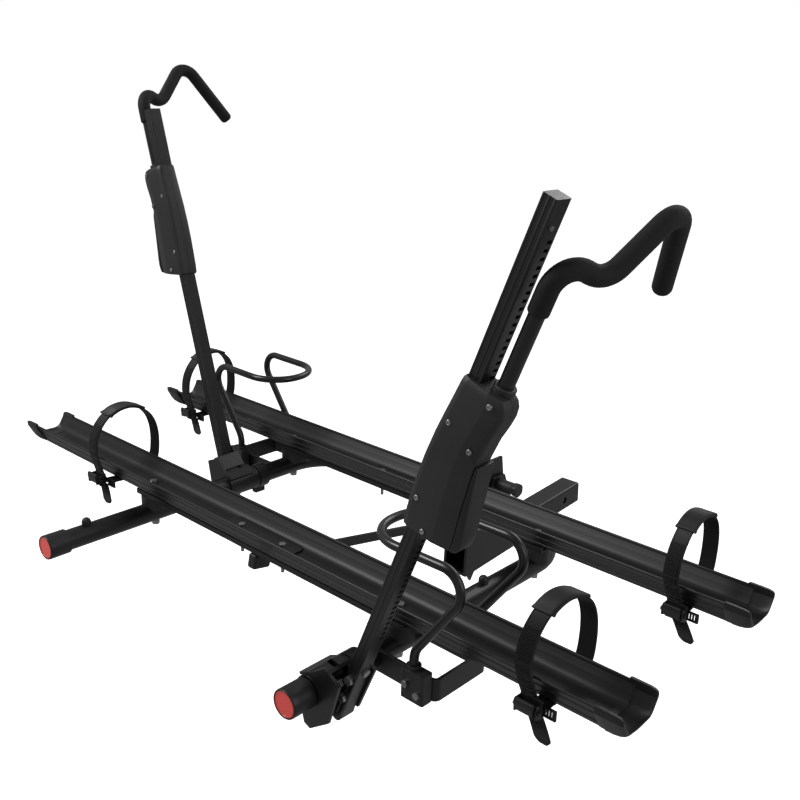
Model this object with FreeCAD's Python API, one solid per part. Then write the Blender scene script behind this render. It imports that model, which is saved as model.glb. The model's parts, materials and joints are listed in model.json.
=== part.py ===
import FreeCAD, Part
import math
import os

# Hitch mounted platform rack for two bicycles.  Millimetres, +Z up, +Y towards the car, +X to the
# right when facing the car.  Everything is laid out about the axis plane of the two frame tubes
# (level = 0) and the faces of their front caps (station = 0), then moved so that the origin is the
# centre of the hitch pin bore.

V = FreeCAD.Vector
os.makedirs("parts", exist_ok=True)

# driving dimensions
PIN_STATION = 1150.0        # hitch pin bore, behind the front caps
PIN_LEVEL = -151.0          # hitch pin bore, below the frame tube axes
PIN_BORE_R = 8.1
SHANK_SIDE = 50.8           # two inch receiver shank
SHANK_WALL = 6.0
SHANK_RISE = 4.0            # degrees, climbs towards the car
SHANK_FRONT = -350.0
SHANK_REAR = 60.0

TUBE_R = 19.05              # frame tubes
TUBE_BORE_R = 16.5
TUBE_X = 324.0
TUBE_START = 10.0
CROSS_Y = 690.0
CORNER_R = 100.0

TRAY_FRONT_Y = 231.1
TRAY_PITCH = 356.5          # fourteen inches between the two wheel trays
TRAY_REAR_Y = TRAY_FRONT_Y + TRAY_PITCH
TRAY_HALF = 700.0
TRAY_BASE = 48.4
TRAY_FLOOR = 59.5
TRAY_RIM = 88.7
TRAY_RIM_HALF = 43.3
TRIM_END = 732.0
SADDLE_R = 25.0
SADDLE_TOP = 36.2
CARRIER_HALF = 350.0
BOLT_R = 4.0
BOLT_PLAY = 0.2

HOOP_R = 7.0
HOOP_SPREAD = 69.5
HOOP_LEG_X = 416.6
HOOP_FOOT = 10.5
CLAMP_FACE = 81.0            # outer face of the clamp blocks, from the tray middle
BRACKET_HALF = 59.5          # outer face of the bracket arms, from the tray middle
BRACKET_T = 5.0
BRACKET_END = 450.0
BRACKET_Z0 = -21.0
BRACKET_Z1 = 15.0
CLAMP_TOP = 27.0

PIVOT_Y = 867.0             # tilt pivot
PIVOT_Z = -21.0
PIVOT_R = 8.0
RUN = 0.05                  # running clearance of every shaft
CATCH_Y = 800.0
CATCH_Z = -100.0
CATCH_R = 5.0
BAR_Y = 735.0               # hinge of the tilt release bar
BAR_Z = -80.0
BAR_FALL = 10.9             # degrees
BAR_LENGTH = 530.0

LEAN_RIGHT = 21.4           # degrees outward from upright
LEAN_LEFT = 16.7
SLIDER_REST = 335.0         # lower end of the right slider along its arm
SLIDER_LEFT_EXTRA = 108.0
RAIL_IN = 29.4
RAIL_OUT = 48.8
RAIL_Y0 = 73.7
RAIL_Y1 = 100.0
RAIL_TOP = 781.0
RAIL_FOOT = -26.0
HOOK_TUBE_R = 9.5
HOOK_FOAM_R = 12.5

STRAP_WIDTH = 30.0
STRAP_T = 3.0
STRAP_TOP = 194.0
STRAP_HALF = 46.5


def box(x0, x1, y0, y1, z0, z1):
    return Part.makeBox(x1 - x0, y1 - y0, z1 - z0, V(x0, y0, z0))


def cylinder(start, direction, radius, length):
    return Part.makeCylinder(radius, length, V(*start), V(*direction))


def prism(corners, direction):
    wire = Part.makePolygon(corners + [corners[0]])
    return Part.Face(wire).extrude(direction)


def prism_x(yz, x0, x1):
    return prism([V(x0, y, z) for y, z in yz], V(x1 - x0, 0, 0))


def prism_y(xz, y0, y1):
    return prism([V(x, y0, z) for x, z in xz], V(0, y1 - y0, 0))


def prism_z(xy, z0, z1):
    return prism([V(x, y, z0) for x, y in xy], V(0, 0, z1 - z0))


def hexagon(start, direction, across, length):
    """Bolt head or nut: a round blank trimmed to six flats."""
    turn = FreeCAD.Rotation(V(0, 0, 1), V(*direction))
    ring = []
    for step in range(6):
        angle = math.radians(60.0 * step)
        corner = V(math.cos(angle), math.sin(angle), 0) * (across / math.sqrt(3.0))
        ring.append(V(*start) + turn.multVec(corner))
    return prism(ring, V(*direction) * length)


def round_edges(shape, axis, radius):
    """Round the edges that run along one direction."""
    along = []
    for edge in shape.Edges:
        ends = edge.Vertexes
        if len(ends) != 2:
            continue
        run = ends[1].Point - ends[0].Point
        if run.Length > 1.0 and abs(abs(run.dot(V(*axis))) - run.Length) < 0.001:
            along.append(edge)
    return shape.makeFillet(radius, along)


def bent_path(points, radii):
    """Straight runs joined by tangent bends."""
    edges = []
    start = points[0]
    for index, radius in enumerate(radii):
        corner = points[index + 1]
        back = (points[index] - corner).normalize()
        ahead = (points[index + 2] - corner).normalize()
        half = back.getAngle(ahead) / 2.0
        setback = radius / math.tan(half)
        inward = (back + ahead).normalize()
        first = corner + back * setback
        last = corner + ahead * setback
        middle = corner + inward * (radius / math.sin(half) - radius)
        edges.append(Part.makeLine(start, first))
        edges.append(Part.Arc(first, middle, last).toShape())
        start = last
    edges.append(Part.makeLine(start, points[-1]))
    return Part.Wire(edges)


def rod(points, radii, radius):
    path = bent_path(points, radii)
    ring = Part.Wire(Part.makeCircle(radius, points[0], points[1] - points[0]))
    return path.makePipeShell([ring], True, False)


def mirrored(shape):
    return shape.mirror(V(0, 0, 0), V(1, 0, 0))


def moved(shape, x, y, z):
    copy = shape.copy()
    copy.translate(V(x, y, z))
    return copy


def fused(shapes):
    whole = shapes[0].multiFuse(shapes[1:])
    return whole.removeSplitter()


def save(name, shapes):
    group = Part.makeCompound(shapes)
    group.translate(V(0, -PIN_STATION, -PIN_LEVEL))
    group.exportStep("parts/" + name + ".step")


# --- receiver side: shank, pivot bracket and pivot hardware ---
def tip_shank(shape):
    shape.translate(V(0, PIN_STATION, PIN_LEVEL))
    shape.rotate(V(0, PIN_STATION, PIN_LEVEL), V(1, 0, 0), SHANK_RISE)
    return shape


HALF = SHANK_SIDE / 2.0
BORE_HALF = HALF - SHANK_WALL
shank = round_edges(box(-HALF, HALF, SHANK_FRONT, SHANK_REAR, -HALF, HALF), (0, 1, 0), 4.0)
shank = shank.cut(round_edges(box(-BORE_HALF, BORE_HALF, SHANK_FRONT - 1, SHANK_REAR + 1,
                                  -BORE_HALF, BORE_HALF), (0, 1, 0), 2.0))
shank = tip_shank(shank)
shank = shank.cut(cylinder((-HALF - 1, PIN_STATION, PIN_LEVEL), (1, 0, 0), PIN_BORE_R, SHANK_SIDE + 2))

PLATE_T = 6.0
PLATE_OUT = HALF + PLATE_T
cheek = [(766, -211), (768, -140), (830, -44), (846, -4), (888, -4), (900, -30), (940, -118), (962, -196.5)]
right_cheek = prism_x(cheek, HALF, PLATE_OUT)
left_cheek = prism_x(cheek, -PLATE_OUT, -HALF)
web = prism_x([(766, -211), (766, -204.4), (962, -190.6), (962, -196.5)], -HALF, HALF)
web = web.cut(tip_shank(box(-HALF, HALF, -400, 0, -HALF, HALF)))
toe = prism_x([(771, -205), (785, -227), (800, -205)], -PLATE_OUT, -HALF)
toe_right = prism_x([(771, -205), (785, -227), (800, -205)], HALF, PLATE_OUT)
bracket = fused([right_cheek, left_cheek, web, toe, toe_right])
bracket = bracket.cut(cylinder((-60, PIVOT_Y, PIVOT_Z), (1, 0, 0), PIVOT_R, 120))
bracket = bracket.cut(cylinder((-60, CATCH_Y, CATCH_Z), (1, 0, 0), CATCH_R, 120))

KNOB_START = PLATE_OUT + 2.0
pivot_bolt = cylinder((-PLATE_OUT, PIVOT_Y, PIVOT_Z), (1, 0, 0), PIVOT_R, PLATE_OUT + 70.0)
pivot_bolt = fused([pivot_bolt, hexagon((-PLATE_OUT - 10, PIVOT_Y, PIVOT_Z), (1, 0, 0), 24.0, 10.0)])
catch_pin = fused([cylinder((-PLATE_OUT, CATCH_Y, CATCH_Z), (1, 0, 0), CATCH_R, 2 * PLATE_OUT),
                   hexagon((-PLATE_OUT - 5, CATCH_Y, CATCH_Z), (1, 0, 0), 16.0, 5.0),
                   hexagon((PLATE_OUT, CATCH_Y, CATCH_Z), (1, 0, 0), 16.0, 5.0)])
knob = fused([cylinder((KNOB_START, PIVOT_Y, PIVOT_Z), (1, 0, 0), 13.0, 42.0),
              cylinder((KNOB_START + 40.0, PIVOT_Y, PIVOT_Z), (1, 0, 0), 16.0, 13.0)])
knob = knob.cut(cylinder((KNOB_START - 1, PIVOT_Y, PIVOT_Z), (1, 0, 0), PIVOT_R + RUN, 39.0))

save("shank", [shank])
save("pivot_bracket", [bracket])
save("pivot_bolt", [pivot_bolt])
save("catch_pin", [catch_pin])
save("tilt_knob", [knob])

# --- tube frame ---
tray_stations = [TRAY_FRONT_Y, TRAY_REAR_Y]
bolt_places = [(side * TUBE_X, y) for y in tray_stations for side in (-1, 1)]


def largest(shape):
    return max(shape.Solids, key=lambda solid: solid.Volume)


def bolt_holes(shape):
    for x, y in bolt_places:
        shape = shape.cut(cylinder((x, y, -40), (0, 0, 1), BOLT_R, 120))
    return shape


def bent_bar(radius):
    """Solid bar along the right side tube, with the quarter bend at its car end."""
    straight = cylinder((TUBE_X, TUBE_START, 0), (0, 1, 0), radius, CROSS_Y - CORNER_R - TUBE_START)
    ring = Part.makeTorus(CORNER_R, radius, V(TUBE_X - CORNER_R, CROSS_Y - CORNER_R, 0), V(0, 0, 1),
                          -180, 180, 90)
    return straight.fuse(ring)


tube_blank = bent_bar(TUBE_R)
tube_blanks = [tube_blank, mirrored(tube_blank)]
right_tube = tube_blank.cut(bent_bar(TUBE_BORE_R))
left_tube = largest(bolt_holes(mirrored(right_tube)))
right_tube = largest(bolt_holes(right_tube))
CROSS_HALF = TUBE_X - CORNER_R
cross = cylinder((-CROSS_HALF, CROSS_Y, 0), (1, 0, 0), TUBE_R, 2 * CROSS_HALF)
cross = cross.cut(cylinder((-CROSS_HALF, CROSS_Y, 0), (1, 0, 0), TUBE_BORE_R, 2 * CROSS_HALF))
save("side_tube_right", [right_tube])
save("side_tube_left", [left_tube])
save("cross_tube", [cross])

CAP_R = 22.6
CAP_END = 42.0
caps = []
reflectors = []
for side in (-1, 1):
    cap = cylinder((side * TUBE_X, 0, 0), (0, 1, 0), CAP_R, CAP_END)
    cap = cap.cut(cylinder((side * TUBE_X, 0, 0), (0, 1, 0), 20.0, 4.0))
    cap = cap.cut(cylinder((side * TUBE_X, TUBE_START, 0), (0, 1, 0), TUBE_R, CAP_END))
    caps.append(cap)
    reflectors.append(cylinder((side * TUBE_X, 1.0, 0), (0, 1, 0), 20.0, 3.0))
save("end_caps", caps)
save("reflectors", reflectors)

bumpers = []
for x, y in ((-TUBE_X, 84.0), (TUBE_X, 438.0)):
    foot = cylinder((x, y, 0), (0, 0, 1), 8.5, 24.0)
    dome = Part.makeSphere(8.5, V(x, y, 24.0))
    bumper = foot.fuse(dome).cut(tube_blanks[0]).cut(tube_blanks[1])
    bumpers.append(bumper.cut(box(x - 20, x + 20, y - 20, y + 20, -30, 0)))
save("bumpers", bumpers)

COLLAR_R = 25.0
collars = []
for side, y in ((1, 120.0), (-1, 120.0 + TRAY_PITCH)):
    collar = cylinder((side * TUBE_X, y, 0), (0, 1, 0), COLLAR_R, 24.0)
    ear = box(side * TUBE_X - 6, side * TUBE_X + 6, y, y + 24, -36, -20)
    collar = collar.fuse(ear).cut(cylinder((side * TUBE_X, y, 0), (0, 1, 0), TUBE_R, 24.0))
    collars.append(collar)
save("stop_collars", collars)

saddles = []
tray_bolts = []
for x, y in bolt_places:
    saddle = cylinder((x, y, 8.0), (0, 0, 1), SADDLE_R, SADDLE_TOP - 8.0)
    saddles.append(bolt_holes(saddle.cut(tube_blanks[0]).cut(tube_blanks[1])))
    stem = cylinder((x, y, -27.5), (0, 0, 1), BOLT_R - BOLT_PLAY, 27.5 + TRAY_FLOOR)
    head = Part.makeCylinder(7.0, 4.5, V(x, y, TRAY_FLOOR), V(0, 0, 1))
    nut = hexagon((x, y, -27.0), (0, 0, 1), 13.0, 27.0 - TUBE_R)
    nut = moved(nut.cut(tube_blanks[0]).cut(tube_blanks[1]), 0, 0, -BOLT_PLAY)
    tray_bolts.append(fused([stem, head, nut]))
save("tray_saddles", saddles)
save("tray_bolts", tray_bolts)


# --- wheel trays ---
def tray_outline(grow):
    side = [(TRAY_RIM_HALF + grow, TRAY_RIM + grow), (TRAY_RIM_HALF + grow, 85.5), (24.5 + grow, 50.5),
            (22.5 + grow, TRAY_BASE - grow)]
    return side + [(-y, z) for y, z in reversed(side)]


TROUGH = [(40.6, TRAY_RIM + 5), (40.6, TRAY_RIM), (39.4, 86.0), (22.0, TRAY_FLOOR),
          (-22.0, TRAY_FLOOR), (-39.4, 86.0), (-40.6, TRAY_RIM), (-40.6, TRAY_RIM + 5)]


def at_tray(outline, station):
    return [(y + station, z) for y, z in outline]


end_trims = []
joiners = []
carriers = []
joiner_bolts = []
JOINER_HALF = 90.0
JOINER_BOLT_X = 54.0
for name, station in (("tray_front", TRAY_FRONT_Y), ("tray_rear", TRAY_REAR_Y)):
    tray = prism_x(at_tray(tray_outline(0), station), -TRAY_HALF, TRAY_HALF)
    tray = tray.cut(prism_x(at_tray(TROUGH, station), -TRAY_HALF - 1, TRAY_HALF + 1))
    tray = tray.cut(box(-TRAY_HALF - 1, TRAY_HALF + 1, station - 19, station + 19, 51.0, 57.0))
    for x in (-JOINER_BOLT_X, JOINER_BOLT_X):
        tray = tray.cut(cylinder((x, station, 20), (0, 0, 1), 3.0, 60))
    save(name, [bolt_holes(tray)])

    for side in (-1, 1):
        x0, x1 = sorted((side * (TRAY_HALF - 10), side * TRIM_END))
        trim = prism_x(at_tray(tray_outline(2.0), station), x0, x1)
        trim = trim.cut(prism_x(at_tray(TROUGH, station), x0 - 1, x1 + 1))
        inner = sorted((side * (TRAY_HALF - 11), side * TRAY_HALF))
        trim = trim.cut(prism_x(at_tray(tray_outline(0), station), inner[0], inner[1]))
        end_trims.append(trim)

    carrier = box(-CARRIER_HALF, CARRIER_HALF, station - 22.3, station + 22.3, SADDLE_TOP, 45.5)
    carrier = carrier.fuse(box(-CARRIER_HALF, CARRIER_HALF, station - 19.5, station + 19.5, 45.5, TRAY_BASE))
    carrier = carrier.cut(box(-CARRIER_HALF - 1, CARRIER_HALF + 1, station - 17, station + 17, 39.0, 45.0))
    for x in (-JOINER_BOLT_X, JOINER_BOLT_X):
        carrier = carrier.cut(cylinder((x, station, 20), (0, 0, 1), 3.0, 60))
    carriers.append(bolt_holes(carrier.removeSplitter()))

    plate = box(-JOINER_HALF, JOINER_HALF, station - 21.5, station + 21.5, TRAY_FLOOR, TRAY_FLOOR + 3)
    plate = round_edges(plate, (0, 0, 1), 14.0)
    for x in (-JOINER_BOLT_X, JOINER_BOLT_X):
        plate = plate.cut(cylinder((x, station, 20), (0, 0, 1), 3.0, 60))
        stem = cylinder((x, station, 12), (0, 0, 1), 3.0, TRAY_FLOOR + 3 - 12)
        head = cylinder((x, station, TRAY_FLOOR + 3), (0, 0, 1), 6.0, 3.0)
        nut = hexagon((x, station, SADDLE_TOP - 7), (0, 0, 1), 12.0, 7.0)
        joiner_bolts.append(fused([stem, head, nut]))
    joiners.append(plate)
save("tray_end_trims", end_trims)
save("tray_carriers", carriers)
save("joiner_plates", joiners)
save("joiner_bolts", joiner_bolts)


# --- wheel hoops and their brackets ---
def hoop_parts():
    """Hoop over +X, centred on station 0."""
    half = [V(HOOP_LEG_X, -HOOP_SPREAD, HOOP_FOOT), V(HOOP_LEG_X, -HOOP_SPREAD, 54.6),
            V(525.0, -HOOP_SPREAD, 204.0), V(309.5, -HOOP_SPREAD, 201.0)]
    back = [V(p.x, HOOP_SPREAD, p.z) for p in reversed(half)]
    hoop = rod(half + back, [41.0, 32.0, 67.0, 67.0, 32.0, 41.0], HOOP_R)
    inside = BRACKET_HALF - BRACKET_T
    outer = round_edges(box(300, BRACKET_END, -BRACKET_HALF, BRACKET_HALF, BRACKET_Z0, BRACKET_Z1), (0, 0, 1), 12.0)
    inner = box(280, BRACKET_END - BRACKET_T, -inside, inside, BRACKET_Z0 - 1, BRACKET_Z1 + 1)
    inner = round_edges(inner, (0, 0, 1), 5.0)
    strip = outer.cut(inner).cut(box(290, 328, -90, 90, -40, 40))
    strip = strip.cut(cylinder((TUBE_X, -100, 0), (0, 1, 0), TUBE_R, 200))
    blocks = []
    bolts = []
    for way in (-1, 1):
        y0, y1 = sorted((way * BRACKET_HALF, way * CLAMP_FACE))
        block = round_edges(box(402, 444, y0, y1, BRACKET_Z0 + 1, CLAMP_TOP), (0, 0, 1), 3.0)
        ring = cylinder((HOOP_LEG_X, way * HOOP_SPREAD, CLAMP_TOP), (0, 0, 1), 11.0, 6.0)
        block = block.fuse(ring)
        block = block.cut(cylinder((HOOP_LEG_X, way * HOOP_SPREAD, HOOP_FOOT), (0, 0, 1), HOOP_R, 60))
        for x, z in ((412.0, 5.0), (434.0, -5.0)):
            shaft = cylinder((x, way * (inside - 3), z), (0, way, 0), 3.0, CLAMP_FACE - inside + 3)
            head = hexagon((x, way * CLAMP_FACE, z), (0, way, 0), 10.0, 4.5)
            nut = hexagon((x, way * inside, z), (0, -way, 0), 10.0, 4.0)
            bolts.append(fused([shaft, head, nut]))
            hole = cylinder((x, way * 50.0, z), (0, way, 0), 3.0, 45)
            block = block.cut(hole)
            strip = strip.cut(hole)
        blocks += block.Solids
    return hoop, strip, blocks, bolts


hoop, strip, blocks, bolts = hoop_parts()
save("hoop_front", [moved(hoop, 0, TRAY_FRONT_Y, 0)])
save("hoop_rear", [moved(mirrored(hoop), 0, TRAY_REAR_Y, 0)])
save("hoop_bracket_front", [moved(strip, 0, TRAY_FRONT_Y, 0)])
save("hoop_bracket_rear", [moved(mirrored(strip), 0, TRAY_REAR_Y, 0)])
save("hoop_clamps", [moved(b, 0, TRAY_FRONT_Y, 0) for b in blocks]
     + [moved(mirrored(b), 0, TRAY_REAR_Y, 0) for b in blocks])
save("clamp_bolts", [moved(b, 0, TRAY_FRONT_Y, 0) for b in bolts]
     + [moved(mirrored(b), 0, TRAY_REAR_Y, 0) for b in bolts])

# --- tilt lugs and release bar ---
LUG_IN = 17.0
LUG_OUT = 23.0
lug_outline = [(886, 36), (850, 36), (838, 14), (700, 30), (668, 22), (668, -30), (715, -96), (748, -96), (752, -62), (768, -46),
               (867, -48), (888, -38), (896, -21)]
lugs = [prism_x(lug_outline, LUG_IN, LUG_OUT), prism_x(lug_outline, -LUG_OUT, -LUG_IN)]
lugs = [lug.cut(cylinder((-30, CROSS_Y, 0), (1, 0, 0), TUBE_R, 60)) for lug in lugs]
lugs = [lug.cut(cylinder((-30, PIVOT_Y, PIVOT_Z), (1, 0, 0), PIVOT_R + RUN, 60)) for lug in lugs]
bar_pin = cylinder((-LUG_OUT, BAR_Y, BAR_Z), (1, 0, 0), 5.0, 2 * LUG_OUT)
save("tilt_lugs", [fused(lugs + [bar_pin])])

fall = math.radians(BAR_FALL)


def along_bar(distance, offset):
    return (BAR_Y - distance * math.cos(fall) + offset * math.sin(fall),
            BAR_Z + distance * math.sin(fall) + offset * math.cos(fall))


bar = prism_x([along_bar(0, -8.5), along_bar(BAR_LENGTH, -8.5), along_bar(BAR_LENGTH, 8.5),
               along_bar(0, 8.5)], -4.0, 4.0)
boss = cylinder((-4, BAR_Y, BAR_Z), (1, 0, 0), 13.0, 8.0)
tooth = prism_x([(735, -93), (772, -112), (784, -112), (783, -104), (762, -90), (741, -69)], -4.0, 4.0)
bar = fused([bar, boss, tooth]).cut(cylinder((-5, BAR_Y, BAR_Z), (1, 0, 0), 5.0 + RUN, 10))
GRIP_LENGTH = 30.0
grip = prism_x([along_bar(BAR_LENGTH - GRIP_LENGTH, -15), along_bar(BAR_LENGTH + 8, -15),
                along_bar(BAR_LENGTH + 8, 12), along_bar(BAR_LENGTH - GRIP_LENGTH, 12)], -10.0, 10.0)
grip = grip.makeFillet(5.0, grip.Edges)
grip = grip.cut(bar)
save("release_bar", [bar])
save("release_grip", [grip])


# --- wheel straps ---
def strap_face(outward):
    """Closed outline of the loop, offset outward from the middle of the band."""
    half = STRAP_HALF + outward
    top_centre = STRAP_TOP - STRAP_HALF
    low = 39.5 - outward
    reach = half / math.sqrt(2.0)
    edges = [Part.makeLine(V(0, -half, low), V(0, -half, top_centre)),
             Part.Arc(V(0, -half, top_centre), V(0, 0, top_centre + half), V(0, half, top_centre)).toShape(),
             Part.makeLine(V(0, half, top_centre), V(0, half, 84.0)),
             Part.makeLine(V(0, half, 84.0), V(0, 25.0, low)),
             Part.makeLine(V(0, 25.0, low), V(0, -half, low))]
    return Part.Face(Part.Wire(edges))


def loop_solid(outward, reach):
    face = strap_face(outward)
    face.translate(V(-reach, 0, 0))
    return face.extrude(V(2 * reach, 0, 0))


def slanted(shape, slope, half_width):
    """Keep the band that crosses the tray at a slant."""
    far = 90.0
    slab = prism_z([(-far * slope - half_width, -far), (-far * slope + half_width, -far),
                    (far * slope + half_width, far), (far * slope - half_width, far)], -60, 300)
    return shape.common(slab)


def strap_set(slope):
    band = loop_solid(STRAP_T / 2, 120).cut(loop_solid(-STRAP_T / 2, 130))
    tail = box(-120, 120, -STRAP_HALF - STRAP_T / 2, -STRAP_HALF + STRAP_T / 2, 2.0, 39.0)
    band = slanted(band.fuse(tail), slope, STRAP_WIDTH / 2)
    sleeve = loop_solid(STRAP_T / 2 + 3.5, 120).cut(loop_solid(STRAP_T / 2, 130))
    sleeve = sleeve.common(box(-120, 120, -60, 60, STRAP_TOP - 31, STRAP_TOP + 20))
    return band, slanted(sleeve, slope, STRAP_WIDTH / 2 + 2)


BUCKLE_HALF = 18.0
BUCKLE_Y = -STRAP_HALF - STRAP_T / 2
HINGE_Z = 50.0
BUCKLE_SHIFT = 14.0


def buckle(near_x):
    base = box(-BUCKLE_HALF, BUCKLE_HALF, BUCKLE_Y - 4, BUCKLE_Y, HINGE_Z - 16, HINGE_Z + 14)
    for side in (-1, 1):
        x0, x1 = sorted((side * BUCKLE_HALF, side * (BUCKLE_HALF - 2.5)))
        base = base.fuse(box(x0, x1, BUCKLE_Y - 15, BUCKLE_Y, HINGE_Z - 10, HINGE_Z + 8))
    pin = cylinder((-BUCKLE_HALF, BUCKLE_Y - 11, HINGE_Z), (1, 0, 0), 2.5, 2 * BUCKLE_HALF)
    base = base.fuse(pin).removeSplitter()
    inside = BUCKLE_HALF - 3.0
    lever = box(-inside, inside, BUCKLE_Y - 15, BUCKLE_Y - 7, HINGE_Z - 5, HINGE_Z + 5)
    paddle = prism_x([(BUCKLE_Y - 15, HINGE_Z), (BUCKLE_Y - 18, HINGE_Z + 14), (BUCKLE_Y - 15, HINGE_Z + 15),
                      (BUCKLE_Y - 10, HINGE_Z + 5)], -inside, inside)
    lever = lever.fuse(paddle).cut(cylinder((-30, BUCKLE_Y - 11, HINGE_Z), (1, 0, 0), 2.5 + RUN, 60))
    return moved(base, near_x, 0, 0), moved(lever.removeSplitter(), near_x, 0, 0)


straps = [("front_left", TRAY_FRONT_Y, -417.0, 0.60), ("front_right", TRAY_FRONT_Y, 604.0, 0.32),
          ("rear_left", TRAY_REAR_Y, -622.0, 0.40), ("rear_right", TRAY_REAR_Y, 612.0, 0.12)]
sleeves = []
buckles = []
for name, station, middle, slope in straps:
    band, sleeve = strap_set(slope)
    base, lever = buckle(BUCKLE_Y * slope + BUCKLE_SHIFT)
    save("strap_" + name, [moved(band, middle, station, 0)])
    sleeves.append(moved(sleeve, middle, station, 0))
    buckles.append(moved(base, middle, station, 0))
    save("buckle_lever_" + name, [moved(lever, middle, station, 0)])
save("strap_sleeves", sleeves)
save("strap_buckles", buckles)


# --- folding arms with sliding hooks, drawn upright over their tube, x outward ---
def arm_base():
    hub = cylinder((0, 44, 0), (0, 1, 0), 24.0, 74.0)
    near = prism_y([(-20, -14), (-6, -30), (12, -55), (25, -55), (50, -16), (44, 55), (10, 59), (-10, 27)],
                   45, 50)
    far = prism_y([(-14, -22), (16, -26), (52, -14), (54, 66), (30, 74), (18, 30), (-14, 26)],
                  RAIL_Y1, RAIL_Y1 + 5)
    cover = prism_y([(-22, 12), (-9, 25.5), (9, 29), (22, 58), (17, 61), (4, 33), (-11, 30), (-26, 14)],
                    45, RAIL_Y1 + 5)
    cover = cover.cut(box(-12, 4, 80, 90, 20, 40))
    hub = fused([hub, near, far, cover])
    hub = hub.cut(cylinder((0, 40, 0), (0, 1, 0), TUBE_R + RUN, 90))
    rail = box(RAIL_IN, RAIL_OUT, RAIL_Y0, RAIL_Y1, RAIL_FOOT, RAIL_TOP)
    rail = round_edges(rail, (0, 0, 1), 1.5)
    heel = (RAIL_OUT - RAIL_IN) / 2.0
    rail = rail.fuse(cylinder((RAIL_IN + heel, RAIL_Y0, RAIL_FOOT), (0, 1, 0), heel, RAIL_Y1 - RAIL_Y0))
    rail = rail.cut(box(RAIL_IN + 2.5, RAIL_OUT - 2.5, RAIL_Y0 + 2.5, RAIL_Y1 - 2.5, 80, RAIL_TOP - 4))
    notch = 130.0
    while notch < 740.0:
        rail = rail.cut(box(RAIL_OUT - 3, RAIL_OUT + 1, RAIL_Y1 - 12, RAIL_Y1 - 4, notch, notch + 4.5))
        notch += 10.0
    bolts = []
    for x, z in ((39.0, 12.0), (39.0, 48.0)):
        shaft = cylinder((x, RAIL_Y0 - 6, z), (0, 1, 0), 4.0, RAIL_Y1 - RAIL_Y0 + 12)
        head = hexagon((x, RAIL_Y0 - 6, z), (0, 1, 0), 13.0, 6.0)
        nut = hexagon((x, RAIL_Y1 + 5, z), (0, 1, 0), 13.0, 6.0)
        bolts.append(fused([shaft, head, nut]))
        hole = cylinder((x, 60, z), (0, 1, 0), 4.0, 90)
        rail = rail.cut(hole)
        hub = hub.cut(hole)
    stop = cylinder((RAIL_OUT - 2.5, 82, 750), (1, 0, 0), 3.0, 5.5)
    rail = rail.cut(stop)
    bolts.append(stop)
    face_bolt = cylinder((RAIL_OUT - 8, 87, 66), (1, 0, 0), 3.0, 8.0)
    face_bolt = face_bolt.fuse(cylinder((RAIL_OUT, 87, 66), (1, 0, 0), 6.0, 4.0)).removeSplitter()
    rail = rail.cut(face_bolt)
    bolts.append(face_bolt)
    pedal = prism_y([(-4, -38), (6, -36), (26, -38), (38, -33), (39, -37), (27, -44), (0, -45)], 53, 66)
    pedal = pedal.fuse(cylinder((-4, 53, -38), (0, 1, 0), 8.0, 13.0)).removeSplitter()
    pedal = pedal.cut(cylinder((-4, 50, -38), (0, 1, 0), 3.0 + RUN, 20))
    pin = cylinder((-4, 46, -38), (0, 1, 0), 3.0, 22.0)
    hub = hub.cut(cylinder((-4, 46, -38), (0, 1, 0), 3.0, 5.0))
    bolts.append(pin)
    return hub, rail, bolts, pedal


def slider(base, hook_lift):
    """Housing that climbs the rail, its release lever and the hook; base is its lower end."""
    top = base + 221.0
    outline = [(26, base), (70, base), (84, base + 24), (84, top - 22), (74, top), (26, top)]
    shell = prism_y(outline, 64, 106)
    shell = round_edges(shell, (0, 0, 1), 6.0)
    shell = shell.cut(box(RAIL_IN - 0.35, RAIL_OUT + 0.35, RAIL_Y0 - 0.35, RAIL_Y1 + 0.35, base - 1, top + 1))
    shell = shell.cut(prism_y([(53, base - 1), (90, base - 1), (90, base + 144), (70, base + 144), (53, base + 60)], 70, 104))
    shell = shell.cut(cylinder((70, 90, base + 160), (0, 0, 1), HOOK_TUBE_R, 80))
    collar = cylinder((70, 90, top), (0, 0, 1), 14.0, 9.0)
    collar = collar.cut(cylinder((70, 90, top), (0, 0, 1), HOOK_TUBE_R, 9.0))
    screws = []
    for x, z in ((57, base + 14), (34.5, base + 186), (62, base + 153), (76, base + 190)):
        screw = cylinder((x, 62.6, z), (0, 1, 0), 4.0, 7.4)
        if x < 50:
            screw = cylinder((x, 62.6, z), (0, 1, 0), 4.0, 6.4)
        screws.append(screw)
        shell = shell.cut(screw)
    hinge_z = base + 133.0
    hinge = cylinder((78, 66, hinge_z), (0, 1, 0), 2.5, 39.0)
    screws.append(hinge)
    shell = shell.cut(hinge)
    front = shell.common(box(0, 120, 60, 85, base - 5, top + 5))
    back = shell.common(box(0, 120, 85, 110, base - 5, top + 5))
    back = back.fuse(collar).removeSplitter()
    lever = prism_y([(73.5, base + 138), (81, base + 139), (84.5, base + 116), (103, base + 52),
                     (102, base + 18), (98, base + 4), (74, base + 4), (71, base + 40),
                     (74, base + 110)], 71, 103)
    lever = lever.cut(cylinder((78, 60, hinge_z), (0, 1, 0), 2.5 + RUN, 60))
    rise = base - SLIDER_REST + hook_lift
    bends = [V(70, 90, 722 + rise), V(96, 150, 700 + rise), V(103, 232, 790 + rise)]
    tip = V(91, 310, 665 + rise)
    tube = rod([V(70, 90, base + 165)] + bends + [tip], [28.0, 35.0, 28.0], HOOK_TUBE_R)
    run = (tip - bends[2]).normalize()
    foam = rod([V(70, 90, 655 + rise)] + bends + [tip + run * 6.0], [28.0, 35.0, 28.0], HOOK_FOAM_R)
    foam = foam.cut(tube)
    return front, back, screws, lever, tube, foam


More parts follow.
